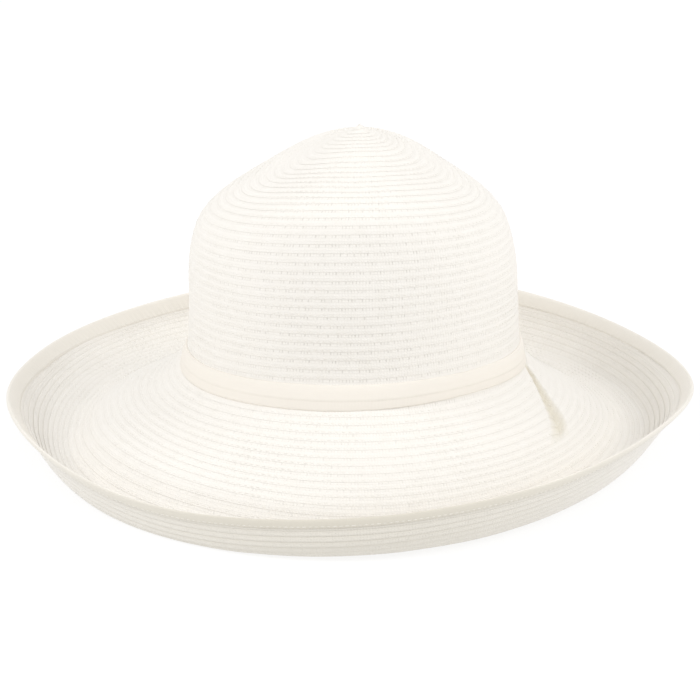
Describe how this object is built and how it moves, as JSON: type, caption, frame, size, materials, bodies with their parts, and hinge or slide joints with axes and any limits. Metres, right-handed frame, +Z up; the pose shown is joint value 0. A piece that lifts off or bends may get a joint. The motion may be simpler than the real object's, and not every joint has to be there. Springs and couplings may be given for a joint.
{
  "type": "sun hat",
  "caption": "Sewn straw braid sun hat with a deep crown, a plain flat band and a wide brim turned up at its bound rim.",
  "frame": {"origin": "on the surface that the hat stands on, under the middle of its outline", "axes": "+Z up out of the crown's tip, -Y the front of the hat, +X the wearer's left side, which is the right side of the picture"},
  "size_m": [0.361, 0.352, 0.1656],
  "materials": {
    "straw_braid": "off-white paper straw braid, sewn in rows, matt with a faint sheen",
    "band_cloth": "plain close-woven off-white band, matt",
    "binding_cloth": "plain ribbed off-white strip, matt"
  },
  "bodies": {
    "root": {"crown": "straw_braid", "brim": "straw_braid", "hat_band": "band_cloth", "edge_binding": "binding_cloth"}
  },
  "joints": []
}
